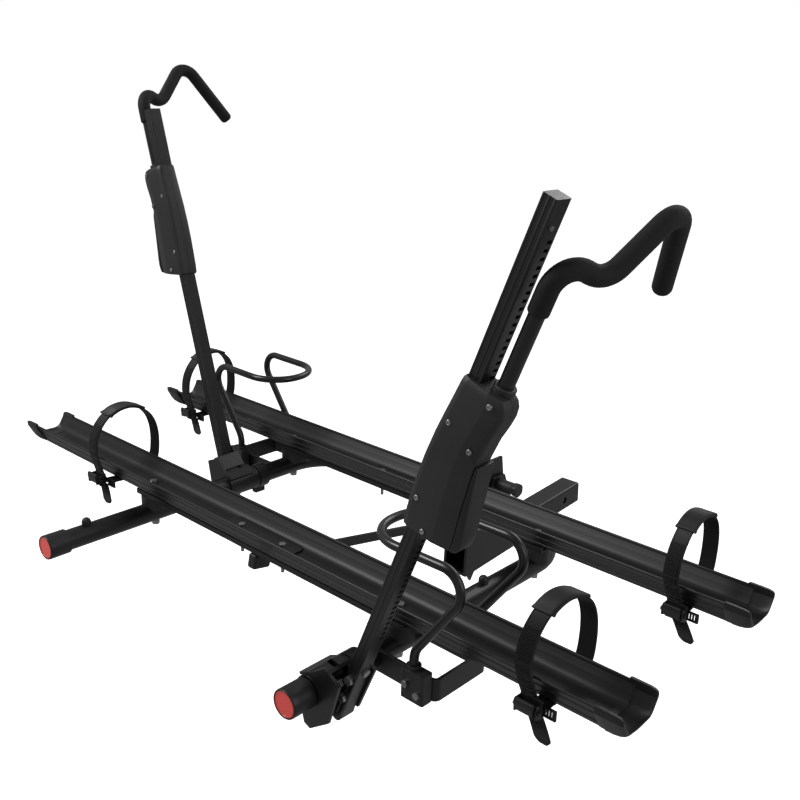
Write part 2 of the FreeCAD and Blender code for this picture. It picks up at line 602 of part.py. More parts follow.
def stand(shape, side):
    if side > 0:
        placed = shape.copy()
        placed.rotate(V(0, 0, 0), V(0, 1, 0), LEAN_RIGHT)
        placed.translate(V(TUBE_X, 0, 0))
        return placed
    placed = mirrored(shape)
    placed.rotate(V(0, 0, 0), V(0, 1, 0), -LEAN_LEFT)
    placed.translate(V(-TUBE_X, TRAY_PITCH, 0))
    return placed


for side, suffix, base, lift in ((1, "_right", SLIDER_REST, 5.0),
                                 (-1, "_left", SLIDER_REST + SLIDER_LEFT_EXTRA, 0.0)):
    hub, rail, bolts, pedal = arm_base()
    front, back, screws, lever, tube, foam = slider(base, lift)
    save("arm_hub" + suffix, [stand(hub, side)])
    save("arm_rail" + suffix, [stand(rail, side)])
    save("arm_bolts" + suffix, [stand(item, side) for item in bolts])
    save("fold_pedal" + suffix, [stand(pedal, side)])
    save("slider_front" + suffix, [stand(front, side)])
    save("slider_back" + suffix, [stand(back, side)])
    save("slider_screws" + suffix, [stand(item, side) for item in screws])
    save("hook_lever" + suffix, [stand(lever, side)])
    save("hook_tube" + suffix, [stand(tube, side)])
    save("hook_foam" + suffix, [stand(foam, side)])
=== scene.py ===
import json
import math

import bmesh
import bpy
from mathutils import Matrix, Vector


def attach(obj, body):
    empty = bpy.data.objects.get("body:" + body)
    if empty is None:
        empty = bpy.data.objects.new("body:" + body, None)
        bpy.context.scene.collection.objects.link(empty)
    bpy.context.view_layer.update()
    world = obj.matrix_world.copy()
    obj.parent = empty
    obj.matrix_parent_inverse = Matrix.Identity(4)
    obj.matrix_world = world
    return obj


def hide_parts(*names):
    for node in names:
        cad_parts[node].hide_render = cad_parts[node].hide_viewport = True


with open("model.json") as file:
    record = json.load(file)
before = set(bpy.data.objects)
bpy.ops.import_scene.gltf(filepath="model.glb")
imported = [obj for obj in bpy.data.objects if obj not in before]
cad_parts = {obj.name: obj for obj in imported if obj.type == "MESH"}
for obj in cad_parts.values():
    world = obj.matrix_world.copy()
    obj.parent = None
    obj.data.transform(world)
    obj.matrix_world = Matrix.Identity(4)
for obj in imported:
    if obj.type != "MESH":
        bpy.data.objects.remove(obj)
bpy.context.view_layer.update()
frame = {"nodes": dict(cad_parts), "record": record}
nodes = frame["nodes"]

# Rack coordinates: millimetres about the frame tube axes, station 0 at the front cap faces.
STATION = 1150.0
LEVEL = 151.0
TUBE_X = 324.0
TRAY_PITCH = 356.5
TRAYS = {"front": 231.1, "rear": 587.6}
LEANS = {"right": 21.4, "left": 16.7}
SLIDERS = {"right": 335.0, "left": 443.0}


def at(x, y, z):
    return Vector((x, y - STATION, z + LEVEL)) / 1000.0


def on_arm(side, v, y, u):
    """A point given along (u) and across (v) a folding arm."""
    lean = math.radians(LEANS[side])
    out = TUBE_X + u * math.sin(lean) + v * math.cos(lean)
    up = u * math.cos(lean) - v * math.sin(lean)
    if side == "left":
        return at(-out, y + TRAY_PITCH, up)
    return at(out, y, up)


# --- materials ---
COAT_ROUGHNESS = 0.3
PATCH_SCALE = 9.0
ROUGHNESS_SPREAD = 0.07
RAMP_START, RAMP_END = 0.3, 0.7
EDGE_RADIUS = 0.0008


def material(name, colour, rough, scale, bump, vary=0.25, metal=0.0, coat=0.0, stretch=(1, 1, 1),
             distance=0.0004, spec=0.5):
    """A dark surface with grain, soft patches of wear and slightly rounded edges."""
    m = bpy.data.materials.new(name)
    m.use_nodes = True
    tree = m.node_tree
    shader = tree.nodes["Principled BSDF"]
    shader.inputs["Metallic"].default_value = metal
    shader.inputs["Coat Weight"].default_value = coat
    shader.inputs["Coat Roughness"].default_value = COAT_ROUGHNESS
    shader.inputs["Specular IOR Level"].default_value = spec
    coords = tree.nodes.new("ShaderNodeTexCoord")
    mapping = tree.nodes.new("ShaderNodeMapping")
    mapping.inputs["Scale"].default_value = stretch
    tree.links.new(coords.outputs["Object"], mapping.inputs["Vector"])
    grain = tree.nodes.new("ShaderNodeTexNoise")
    grain.inputs["Scale"].default_value = scale
    grain.inputs["Detail"].default_value = 4.0
    tree.links.new(mapping.outputs["Vector"], grain.inputs["Vector"])
    patch = tree.nodes.new("ShaderNodeTexNoise")
    patch.inputs["Scale"].default_value = PATCH_SCALE
    patch.inputs["Detail"].default_value = 5.0
    tree.links.new(mapping.outputs["Vector"], patch.inputs["Vector"])
    ramp = tree.nodes.new("ShaderNodeValToRGB")
    dark = [c * (1.0 - vary) for c in colour]
    light = [c * (1.0 + vary) for c in colour]
    ramp.color_ramp.elements[0].position = RAMP_START
    ramp.color_ramp.elements[1].position = RAMP_END
    ramp.color_ramp.elements[0].color = (*dark, 1)
    ramp.color_ramp.elements[1].color = (*light, 1)
    tree.links.new(patch.outputs["Fac"], ramp.inputs["Fac"])
    tree.links.new(ramp.outputs["Color"], shader.inputs["Base Color"])
    spread = tree.nodes.new("ShaderNodeMapRange")
    spread.inputs["To Min"].default_value = rough - ROUGHNESS_SPREAD
    spread.inputs["To Max"].default_value = rough + ROUGHNESS_SPREAD
    tree.links.new(patch.outputs["Fac"], spread.inputs["Value"])
    tree.links.new(spread.outputs["Result"], shader.inputs["Roughness"])
    relief = tree.nodes.new("ShaderNodeBump")
    relief.inputs["Strength"].default_value = bump
    relief.inputs["Distance"].default_value = distance
    tree.links.new(grain.outputs["Fac"], relief.inputs["Height"])
    soft = tree.nodes.new("ShaderNodeBevel")
    soft.samples = 4
    soft.inputs["Radius"].default_value = EDGE_RADIUS
    tree.links.new(soft.outputs["Normal"], relief.inputs["Normal"])
    tree.links.new(relief.outputs["Normal"], shader.inputs["Normal"])
    return m


STEEL = material("powder_coat", (0.006, 0.006, 0.0065), 0.36, 900, 0.25, coat=0.12, spec=0.3)
ROD = material("hoop_coat", (0.0065, 0.0065, 0.007), 0.30, 700, 0.15, coat=0.25, spec=0.27)
ALUMINIUM = material("anodised_tray", (0.0065, 0.0065, 0.007), 0.46, 400, 0.22, stretch=(0.02, 1, 1),
                     coat=0.05, spec=0.27)
PLASTIC = material("grained_plastic", (0.015, 0.015, 0.0155), 0.50, 1500, 0.5, spec=0.34)
TRIM = material("trim_plastic", (0.008, 0.008, 0.0085), 0.42, 1200, 0.3, spec=0.34)
RUBBER = material("strap_rubber", (0.009, 0.009, 0.009), 0.52, 1300, 0.35, spec=0.28)
FOAM = material("grip_foam", (0.01, 0.01, 0.0105), 0.72, 1100, 0.7, distance=0.0006, spec=0.2)
SCREW = material("dark_screw", (0.26, 0.26, 0.27), 0.34, 800, 0.2, metal=0.9)
LENS = material("reflector_lens", (0.75, 0.035, 0.02), 0.18, 60, 0.1, vary=0.12, coat=0.6)

SLOTS = {"black_steel": STEEL, "black_aluminium": ALUMINIUM, "black_plastic": PLASTIC,
         "black_rubber": RUBBER, "black_foam": FOAM, "dark_fastener": SCREW, "red_reflector": LENS}
for entry in frame["record"]["subparts"]:
    mesh = nodes[entry["node"]].data
    mesh.materials.clear()
    mesh.materials.append(SLOTS[entry["material_slot"]])
for name in ("hoop_front", "hoop_rear"):
    nodes[name].data.materials[0] = ROD

# prismatic facets of the reflector lens
FACET_SCALE = 330.0
FACET_STRENGTH = 0.5
FACET_DEPTH = 0.001
lens_tree = LENS.node_tree
facets = lens_tree.nodes.new("ShaderNodeTexVoronoi")
facets.inputs["Scale"].default_value = FACET_SCALE
lens_coords = lens_tree.nodes.new("ShaderNodeTexCoord")
lens_tree.links.new(lens_coords.outputs["Object"], facets.inputs["Vector"])
for node in lens_tree.nodes:
    if node.type == "BUMP":
        lens_tree.links.new(facets.outputs["Distance"], node.inputs["Height"])
        node.inputs["Strength"].default_value = FACET_STRENGTH
        node.inputs["Distance"].default_value = FACET_DEPTH


# --- mesh helpers ---
def add_piece(name, mesh, body, surface, replaced=()):
    piece = bpy.data.objects.new(name, mesh)
    bpy.context.scene.collection.objects.link(piece)
    mesh.materials.append(surface)
    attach(piece, body)
    if replaced:
        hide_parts(*replaced)
    return piece


SHARP_ANGLE = 32.0


def make_mesh(name, points, faces):
    mesh = bpy.data.meshes.new(name)
    mesh.from_pydata([tuple(p) for p in points], [], faces)
    mesh.update()
    fixer = bmesh.new()
    fixer.from_mesh(mesh)
    bmesh.ops.remove_doubles(fixer, verts=fixer.verts, dist=1e-7)
    bmesh.ops.recalc_face_normals(fixer, faces=fixer.faces)
    fixer.to_mesh(mesh)
    fixer.free()
    mesh.shade_smooth()
    mesh.set_sharp_from_angle(angle=math.radians(SHARP_ANGLE))
    return mesh


def loft(sections, loop=False):
    """Skin equal rings of points, with flat ends unless they run in a loop; returns points and faces."""
    count = len(sections[0])
    points = [p for ring in sections for p in ring]
    faces = []
    rings = len(sections)
    for r in range(rings if loop else rings - 1):
        base = r * count
        above = ((r + 1) % rings) * count
        for i in range(count):
            j = (i + 1) % count
            faces.append((base + i, base + j, above + j, above + i))
    if not loop:
        faces.append(tuple(range(count - 1, -1, -1)))
        faces.append(tuple(range((rings - 1) * count, rings * count)))
    return points, faces


def join_parts(parts):
    """Several (points, faces) pairs as one."""
    points = []
    faces = []
    for part_points, part_faces in parts:
        shift = len(points)
        points += part_points
        faces += [tuple(i + shift for i in face) for face in part_faces]
    return points, faces


def rounded(corners, radius, steps=4):
    """Outline (2-D, convex or not) with its corners rounded; radius may be one per corner."""
    outline = []
    count = len(corners)
    for i, corner in enumerate(corners):
        r = radius[i] if isinstance(radius, (list, tuple)) else radius
        c = Vector(corner)
        back = (Vector(corners[i - 1]) - c).normalized()
        ahead = (Vector(corners[(i + 1) % count]) - c).normalized()
        half = back.angle(ahead) / 2.0
        cut = r / math.tan(half)
        start, end = c + back * cut, c + ahead * cut
        for s in range(steps + 1):
            t = s / steps
            outline.append(start * (1 - t) ** 2 + c * 2 * t * (1 - t) + end * t ** 2)
    return outline


def ribbed(start, end, count, height):
    """Points along a line with small rounded ribs on its left side."""
    a, b = Vector(start), Vector(end)
    along = b - a
    side = Vector((-along.y, along.x)).normalized() * height
    points = []
    for i in range(count):
        for part, lift in ((0.15, 0.0), (0.3, 1.0), (0.7, 1.0), (0.85, 0.0)):
            points.append(a + along * ((i + part) / count) + side * lift)
    return points


# --- wheel trays ---
TRAY_FLOOR = 59.5
TRAY_END = 700.0
CORNER_RADII = [0.1, 4.0, 17.0, 17.0, 4.0, 0.1]
RIB_COUNT = 2
RIB_HEIGHT = 0.06
RIBBED_LENGTH = 6.0             # shorter runs of the wall stay plain


def tray_profile():
    """Section of one tray, anticlockwise, y from its middle: rim beads, rounded trough, keyed skirt."""
    right_out = [(18.0, 48.4), (21.5, 48.4), (24.0, 49.6), (27.6, 56.6), (27.0, 57.3), (27.6, 58.2),
                 (34.6, 71.4), (34.0, 72.2), (34.8, 73.0), (41.6, 84.4), (43.3, 85.6), (43.4, 87.6),
                 (42.4, 88.7), (41.0, 88.7), (40.2, 87.8)]
    inner = [Vector(p) for p in right_out]
    wall = rounded([(39.9, 87.0), (38.9, 84.0), (23.0, TRAY_FLOOR), (-23.0, TRAY_FLOOR), (-38.9, 84.0),
                    (-39.9, 87.0)], CORNER_RADII, 6)
    for a, b in zip(wall, wall[1:] + [None]):
        inner.append(a)
        if b is not None and (a - b).length > RIBBED_LENGTH:
            inner += ribbed(a, b, RIB_COUNT, RIB_HEIGHT)
    inner += [Vector((-x, z)) for x, z in reversed(right_out)]
    inner += [Vector(p) for p in ((-12, 48.4), (-11.5, 49.2), (-4, 49.2), (-3.5, 48.4), (3.5, 48.4),
                                  (4, 49.2), (11.5, 49.2), (12, 48.4))]
    return inner


for key, station in TRAYS.items():
    profile = tray_profile()
    rings = [[at(x, p.x + station, p.y) for p in profile] for x in (-TRAY_END, TRAY_END)]
    add_piece("tray_extrusion_" + key, make_mesh("tray_" + key, *loft(rings)), "rack",
              ALUMINIUM, ["tray_" + key])


# --- tray end trims ---
TRIM_WALL = 2.2
TRIM_RINGS = [  # x, inset, drop of the rim, softness of the corners, lift of the underside
    (690.0, 1.6, 0.0, 0.0, 0.0), (690.6, 0.4, 0.0, 0.0, 0.0), (693, 0.0, 0.0, 0.0, 0.0),
    (700.2, 0.0, 0.0, 0.0, 0.0), (700.8, 0.0, 0.0, 0.5, 0.0), (712, 0.0, 0.0, 0.8, 0.6),
    (722.0, 0.0, 0.3, 1.0, 2.6), (728.0, 0.3, 1.2, 1.0, 5.2), (731.0, 1.2, 2.2, 1.0, 7.4),
    (732.0, 2.2, 3.2, 1.0, 8.6)]


def trim_section(inset, drop, soft, lift):
    """U section of the end trim: the tray's outside grown by the wall less the inset."""
    grow = TRIM_WALL - inset
    rim = 88.9 + grow - drop
    outer = [(43.3 + grow, rim), (42.6 + grow, 80.0), (25.0 + grow + soft * 4, 50.8 - soft + lift),
             (17.0 - soft * 12, 48.4 - grow + lift)]
    outer = outer + [(-y, z) for y, z in reversed(outer)]
    trough = 60.2 - soft * 7
    inner = [(-40.0 - soft * 0.8, rim), (-38.0 - soft, 80.0), (-23.0 - soft * 3, trough + lift * 0.7),
             (23.0 + soft * 3, trough + lift * 0.6), (38.0 + soft, 80.0), (40.0 + soft * 0.8, rim)]
    low = 3.5 + soft * 12.5
    bowl = 14.0 + soft * 5
    radii = [0.9, 3.0, low, low * 0.8, low * 0.8, low, 3.0, 0.9, 0.4, 2.5, bowl, bowl, 2.5, 0.4]
    return rounded(outer + inner, radii, 5)


trim_parts = []
for station in TRAYS.values():
    for way in (-1, 1):
        rings = []
        for x, *shape in TRIM_RINGS:
            rings.append([at(way * x, p.x + station, p.y) for p in trim_section(*shape)])
        trim_parts.append(loft(rings))
add_piece("end_trim_mouldings", make_mesh("end_trims", *join_parts(trim_parts)), "rack",
          TRIM, ["tray_end_trims"])


# --- slider housings ---
LEVER_TOP = 136.0
LEVER_EDGE = 1.6
SEAM_Y = 85.0
SEAM_GAP = 0.25


def housing_outline(rise, inner, outer, y0, y1, corner):
    """Section of a slider housing; its outer front edge is crisp where the lever meets it."""
    ridge = inner + 0.66 * (outer - inner)
    shoulder = corner * 0.8 if rise > LEVER_TOP else LEVER_EDGE
    return rounded([(inner, y0 + 3.5), (inner + 9, y0 + 0.6), (ridge, y0), (outer, y0 + 5), (outer, y1 - 4),
                    (inner, y1)], [corner * 0.6, 3.0, corner * 0.9, shoulder, corner * 0.8, corner], 5)


HOUSING = [  # height above the lower end, inner face, outer face, front, back, corner
    (-1.0, 28.0, 96.0, 67.5, 103.0, 4.0), (1.5, 25.0, 98.0, 65.2, 105.0, 7.0), (14, 23.0, 98.5, 64.0, 106, 9),
    (36, 20.8, 96.5, 63.4, 106.4, 11), (70, 18.6, 92.5, 63.0, 106.6, 12), (105, 18.2, 88.8, 62.8, 106.6, 12),
    (134, 19.4, 86.0, 62.8, 106.6, 12), (140, 19.6, 86.0, 62.8, 106.6, 12),
    (168, 22.0, 88.0, 63.0, 106.5, 12), (190, 24.2, 92.0, 63.4, 106.3, 11),
    (204, 25.4, 93.5, 63.8, 106, 10.5), (215, 26.2, 92.0, 64.4, 105.6, 9.5),
    (221, 27.0, 88.0, 65.4, 105, 8), (224, 28.6, 84.0, 67.2, 103.6, 6)]


def skew(rise, v):
    """Lift of the mouldings' lower edge towards the outer side."""
    return 12.0 * max(0.0, (v - 30.0) / 65.0) * max(0.0, 1.0 - rise / 70.0)


def housing_half(side, front):
    """One moulded half shell, closed at the joint line."""
    sections = []
    for rise, inner, outer, y0, y1, corner in HOUSING:
        ring = []
        for p in housing_outline(rise, inner, outer, y0, y1, corner):
            y = min(p.y, SEAM_Y - SEAM_GAP) if front else max(p.y, SEAM_Y + SEAM_GAP)
            ring.append(on_arm(side, p.x, y, SLIDERS[side] + rise + skew(rise, p.x)))
        sections.append(ring)
    return loft(sections)


def tube_part(side, centre, radius, start, end, segments=28):
    """Short upright collar on an arm."""
    rings = []
    for u, r in ((start, radius - 1.0), (start + 0.8, radius), (end - 1.2, radius), (end, radius - 1.2)):
        ring = []
        for i in range(segments):
            a = 2 * math.pi * i / segments
            ring.append(on_arm(side, centre[0] + r * math.cos(a), centre[1] + r * math.sin(a), u))
        rings.append(ring)
    return loft(rings)


COLLAR = (70, 90)
LEVER_RINGS = [  # height, inner face, outer face, trim at front and back
    (134, 87.2, 89.4, 0.8), (128, 87.8, 91.2, 0.2), (112, 89.1, 94, 0), (84, 92.0, 99.0, 0),
    (58, 94.8, 103.5, 0), (38, 97.2, 106.5, 0), (20, 99.2, 108, 0), (8, 99.2, 107.5, 0.6),
    (3, 99.2, 106.5, 1.4), (1.5, 99.4, 105.5, 2.4)]
SCREW_PLACES = ((58.4, 14), (35.5, 163), (74.5, 149), (75.4, 213), (33.5, 48))
SCREW_PROFILE = ((66.5, 3.6), (62.9, 3.6), (62.4, 3.1), (62.4, 1.5), (63.3, 1.4))

for side in ("right", "left"):
    low = SLIDERS[side]
    body = "hook_" + side
    add_piece("housing_front_" + side, make_mesh("housing_front", *housing_half(side, True)), body,
              PLASTIC, ["slider_front_" + side])
    back_parts = [housing_half(side, False), tube_part(side, COLLAR, 13.5, low + 214, low + 232)]
    add_piece("housing_back_" + side, make_mesh("housing_back", *join_parts(back_parts)), body,
              PLASTIC, ["slider_back_" + side])
    # release lever: a wedge that swells towards its lower end
    rings = []
    for rise, inner, outer, trim in LEVER_RINGS:
        edge = 1.0 + (outer - inner) * 0.2
        corners = [(inner, 67.6 + trim), (outer, 70 + trim), (outer, 102 - trim), (inner, 102 - trim)]
        outline = rounded(corners, [0.8, edge, edge, 0.8], 4)
        rings.append([on_arm(side, p.x, p.y, low + rise + skew(rise, p.x)) for p in outline])
    add_piece("lever_moulding_" + side, make_mesh("hook_lever", *loft(rings)), "grip_" + side,
              TRIM, ["hook_lever_" + side])
    # screw heads on the front shell
    parts = []
    for v, rise in SCREW_PLACES:
        rings = []
        for y, r in SCREW_PROFILE:
            turns = [math.pi * i / 8 for i in range(16)]
            rings.append([on_arm(side, v + r * math.cos(a), y, low + rise + r * math.sin(a)) for a in turns])
        parts.append(loft(rings))
    add_piece("housing_screws_" + side, make_mesh("housing_screws", *join_parts(parts)), body,
              SCREW, ["slider_screws_" + side])


# --- foam grips ---
def bent_line(corners, radii, step=4.0):
    """Points along straight runs with round bends."""
    line = [Vector(corners[0])]
    for i, radius in enumerate(radii):
        c = Vector(corners[i + 1])
        back = (Vector(corners[i]) - c).normalized()
        ahead = (Vector(corners[i + 2]) - c).normalized()
        half = back.angle(ahead) / 2.0
        cut = radius / math.tan(half)
        axis = back.cross(ahead).normalized()
        centre = c + (back + ahead).normalized() * (radius / math.sin(half))
        arm = (c + back * cut) - centre
        sweep = math.pi - 2 * half
        count = max(4, int(radius * sweep / step))
        for s in range(count + 1):
            line.append(centre + Matrix.Rotation(-sweep * s / count, 3, axis) @ arm)
    line.append(Vector(corners[-1]))
    return line


def tube_rings(line, radius_at, segments=28):
    """Rings square to a line, carried along without twist."""
    rings = []
    normal = None
    for i, p in enumerate(line):
        ahead = line[min(i + 1, len(line) - 1)] - line[max(i - 1, 0)]
        ahead.normalize()
        if normal is None:
            normal = ahead.orthogonal().normalized()
        normal = (normal - ahead * normal.dot(ahead)).normalized()
        other = ahead.cross(normal)
        r = radius_at(i)
        rings.append([p + (normal * math.cos(2 * math.pi * k / segments)
                           + other * math.sin(2 * math.pi * k / segments)) * r for k in range(segments)])
    return rings


for side in ("right", "left"):
    rise = SLIDERS[side] - 335.0 + (5.0 if side == "right" else 0.0)
    corners = [(70, 90, 655), (70, 90, 722), (96, 150, 700), (103, 232, 790), (91, 310, 665)]
    line = bent_line(corners, [28.0, 35.0, 28.0])
    run = (line[-1] - line[-2]).normalized()
    tip = line.pop()
    radii = [12.5] * len(line)
    for back, r in ((4.0, 12.5), (0.5, 12.3), (-2.0, 11.4), (-4.2, 9.4), (-5.6, 6.2), (-6.0, 2.5)):
        line.append(tip - run * back)
        radii.append(r)
    line.insert(1, line[0] + Vector((0, 0, 1.2)))
    line.insert(2, line[0] + Vector((0, 0, 3.0)))
    radii = [11.0, 12.1] + radii
    world = [on_arm(side, p.x, p.y, p.z + rise) for p in line]
    rings = tube_rings(world, lambda i: radii[i] / 1000.0)
    grip = add_piece("foam_grip_" + side, make_mesh("foam_grip", *loft(rings)), "hook_" + side,
                     FOAM, ["hook_foam_" + side])


# --- ratchet straps ---
STRAPS = {"front_left": (231.1, -417.0, 0.60), "front_right": (231.1, 604.0, 0.32),
          "rear_left": (587.6, -622.0, 0.40), "rear_right": (587.6, 612.0, 0.12)}
BAND_HALF = 13.0
LEAN = 14.0
NEAR_LEG = [(-40.0, 40.5), (-44.5, 50.0), (-48.5, 66.0), (-51.5, 90.0), (-51.8, 112.0), (-48.5, 134.0)]
OVER_TOP = [(-40.5, 155.0), (-28.0, 174.0), (-12.0, 187.5), (6.0, 193.0), (24.0, 188.0), (38.5, 173.0)]
FAR_LEG = [(46.0, 152.0), (48.5, 128.0), (48.0, 105.0), (46.0, 89.0), (42.5, 78.5), (27.0, 47.5)]
UNDER = [(21.0, 44.6), (0.0, 43.9), (-21.0, 44.0), (-33.0, 42.3)]
STRAP_POINTS = [Vector(p) for p in NEAR_LEG + OVER_TOP + FAR_LEG + UNDER]


def strap_line():
    """Middle of the band in the section plane (y, z): a smooth closed curve at about 3 mm steps."""
    line = []
    count = len(STRAP_POINTS)
    for i in range(count):
        before, a, b, after = (STRAP_POINTS[(i + k) % count] for k in (-1, 0, 1, 2))
        steps = max(2, round((b - a).length / 3.0))
        for k in range(steps):
            t = k / steps
            line.append(0.5 * (2 * a + (b - before) * t + (2 * before - 5 * a + 4 * b - after) * t ** 2
                               + (3 * a - before - 3 * b + after) * t ** 3))
    return line


def lean(y, z):
    """Sideways shift of the band towards its buckle."""
    return LEAN * min(1.0, max(0.0, (100.0 - z) / 58.0)) * min(1.0, max(0.0, (20.0 - y) / 60.0))


def strap_point(key, y, z, across):
    station, middle, slope = STRAPS[key]
    return at(middle + slope * y + lean(y, z) + across, station + y, z)


def band_rings(key, line, section, closed):
    """Rings of a flat band along a line in the section plane; section holds (across, outward) pairs."""
    rings = []
    count = len(line)
    for i, p in enumerate(line):
        if closed:
            ahead = line[(i + 1) % count] - line[i - 1]
        else:
            ahead = line[min(i + 1, count - 1)] - line[max(i - 1, 0)]
        ahead.normalize()
        out = Vector((-ahead.y, ahead.x))
        rings.append([strap_point(key, *(p + out * up), across) for across, up in section(i)])
    return rings


def strap_section(i):
    w = BAND_HALF
    return ((-w, -0.9), (0.6 - w, -1.5), (w - 0.6, -1.5), (w, -0.9), (w, 1.2), (w - 0.7, 1.9), (w - 2.2, 1.9),
            (w - 2.6, 1.4), (2.6 - w, 1.4), (2.2 - w, 1.9), (0.7 - w, 1.9), (-w, 1.2))


TOOTH_PITCH = 3.1
TOOTHED_Z = (60.0, 162.0)
TAIL_TEETH = 13
TAIL_END = 12.6                 # the last tooth has no gap after it


def teeth(key):
    """Ratchet teeth across the outer face of the near leg."""
    line = strap_line()
    parts = []
    travelled = 0.0
    for a, b in zip(line, line[1:40]):
        travelled += (b - a).length
        if travelled < TOOTH_PITCH or not TOOTHED_Z[0] <= b.y <= TOOTHED_Z[1]:
            continue
        travelled = 0.0
        ahead = (b - a).normalized()
        out = Vector((-ahead.y, ahead.x))
        rings = []
        for across in (2.8 - BAND_HALF, BAND_HALF - 2.8):
            ring = []
            for along, lift in ((-0.85, 1.2), (0.85, 1.2), (0.45, 3.2), (-0.45, 3.2)):
                ring.append(strap_point(key, *(b + ahead * along + out * lift), across))
            rings.append(ring)
        parts.append(loft(rings))
    return parts


def tail_mesh(key):
    """Toothed free end of the band below the buckle, leaning aside."""
    rings = []
    for i in range(TAIL_TEETH):
        for part, high in ((0.0, False), (0.1, True), (0.5, True), (0.6, False)):
            t = (i + part) / TAIL_END
            y = -46.0 - 6.0 * t ** 1.4
            z = 40.0 - 35.0 * t
            half = 12.5 if t < 0.82 else 12.5 - 6.5 * ((t - 0.82) / 0.18) ** 2
            lift = 2.4 if high and i < TAIL_TEETH - 2 else 1.4
            centre = LEAN * 0.1 + 25.0 * t
            ring = []
            for across, up in ((-half, 1.3), (half, 1.3), (half, -1.2), (half - 2.4, -lift),
                               (2.4 - half, -lift), (-half, -1.2)):
                ring.append(strap_point(key, y + up, z + up * 0.3, centre + across))
            rings.append(ring)
    return loft(rings)


def pad_section(i, last):
    """Soft sleeve over the top of the band, a little proud at its two ends."""
    flare = 0.9 if i in (0, 1, last - 1, last) else 0.0
    w = 15.4 + flare
    return ((-w, -2.2), (w, -2.2), (w + 0.6, -1.2), (w + 0.6, 2.6), (w - 1.8, 4.3 + flare),
            (1.8 - w, 4.3 + flare), (-w - 0.6, 2.6), (-w - 0.6, -1.2))


sleeve_parts = []
buckle_parts = []
for key in STRAPS:
    band = loft(band_rings(key, strap_line(), strap_section, True), loop=True)
    parts = [band, tail_mesh(key)]
    parts += teeth(key)
    add_piece("strap_band_" + key, make_mesh("strap_band", *join_parts(parts)), "rack",
              RUBBER, ["strap_" + key])
    pad_line = [p for p in strap_line() if p.y > 160.0 and -29.0 < p.x < 27.0]
    pad_last = len(pad_line) - 1
    sleeve_parts.append(loft(band_rings(key, pad_line, lambda i: pad_section(i, pad_last), False)))
add_piece("strap_pads", make_mesh("strap_pads", *join_parts(sleeve_parts)), "rack", RUBBER,
          ["strap_sleeves"])


# --- buckles: a cheeked frame with a ratchet wheel and a slotted tongue, and the lever over it ---
HINGE_Y, HINGE_Z = -59.0, 50.0
BUCKLE_Y = -48.0
WHEEL_TEETH = 12


def slab(corners, low, high, place, radius=2.0):
    """Outline in the y-z plane carried along x from low to high, through place(x, y, z)."""
    outline = rounded(corners, radius, 3)
    centre = sum(outline, Vector((0, 0))) / len(outline)
    rings = []
    for x, inset in ((low, 0.6), (low + 0.5, 0.0), (high - 0.5, 0.0), (high, 0.6)):
        ring = []
        for p in outline:
            q = p + (centre - p).normalized() * inset
            ring.append(place(x, q.x, q.y))
        rings.append(ring)
    return loft(rings)


for key, (station, middle, slope) in STRAPS.items():
    buckle_x = middle + BUCKLE_Y * slope + LEAN

    def here(x, y, z):
        return at(buckle_x + x, station + y, z)

    buckle_parts.append(slab([(-52, 34), (-48.4, 34), (-48.4, 63), (-51, 63)], -17, 17, here, 0.8))
    for x in (-18.0, 15.4):
        cheek = [(-63.5, 41), (-49, 36), (-49, 60), (-60, 60), (-65.5, 55)]
        buckle_parts.append(slab(cheek, x, x + 2.6, here, 3.0))
    for start, end, reach in ((-19.8, 19.8, 2.3), (18.0, 20.6, 3.6), (-20.6, -18.0, 3.6)):
        disc = [(HINGE_Y + reach * math.cos(math.pi * i / 8), HINGE_Z + reach * math.sin(math.pi * i / 8))
                for i in range(16)]
        buckle_parts.append(loft([[here(x, y, z) for y, z in disc] for x in (start, end)]))
    wheel = []
    for i in range(2 * WHEEL_TEETH):
        a = math.pi * i / WHEEL_TEETH
        r = 6.4 if i % 2 else 5.0
        wheel.append((HINGE_Y + r * math.cos(a), HINGE_Z + r * math.sin(a)))
    buckle_parts.append(loft([[here(x, y, z) for y, z in wheel] for x in (-9.0, 9.0)]))
    for z in (35.0, 48.0):
        buckle_parts.append(slab([(-42, z), (-38, z), (-38, z + 3), (-42, z + 3)], 8, 33, here, 0.8))
    for x in (14.0, 18.5, 23.0, 27.5, 30.6):
        buckle_parts.append(slab([(-41.4, 36), (-38.6, 36), (-38.6, 50), (-41.4, 50)], x, x + 2.6, here, 0.6))
    paddle = [(-68, 46), (-70.5, 58), (-69.5, 64), (-66, 65.5), (-62.5, 60), (-60.5, 57.5), (-66, 52), (-66, 47)]
    lever = [slab(paddle, -14.4, 14.4, here, 1.2)]
    for x in (-14.8, 12.6):
        ear = [(-69, 44), (-69, 60), (-62, 60), (-54, 53), (-54, 46), (-60, 42.5)]
        lever.append(slab(ear, x, x + 2.2, here, 2.5))
    add_piece("buckle_handle_" + key, make_mesh("buckle_handle", *join_parts(lever)), "buckle_" + key,
              TRIM, ["buckle_lever_" + key])
add_piece("buckle_frames", make_mesh("buckle_frames", *join_parts(buckle_parts)), "rack",
          TRIM, ["strap_buckles"])


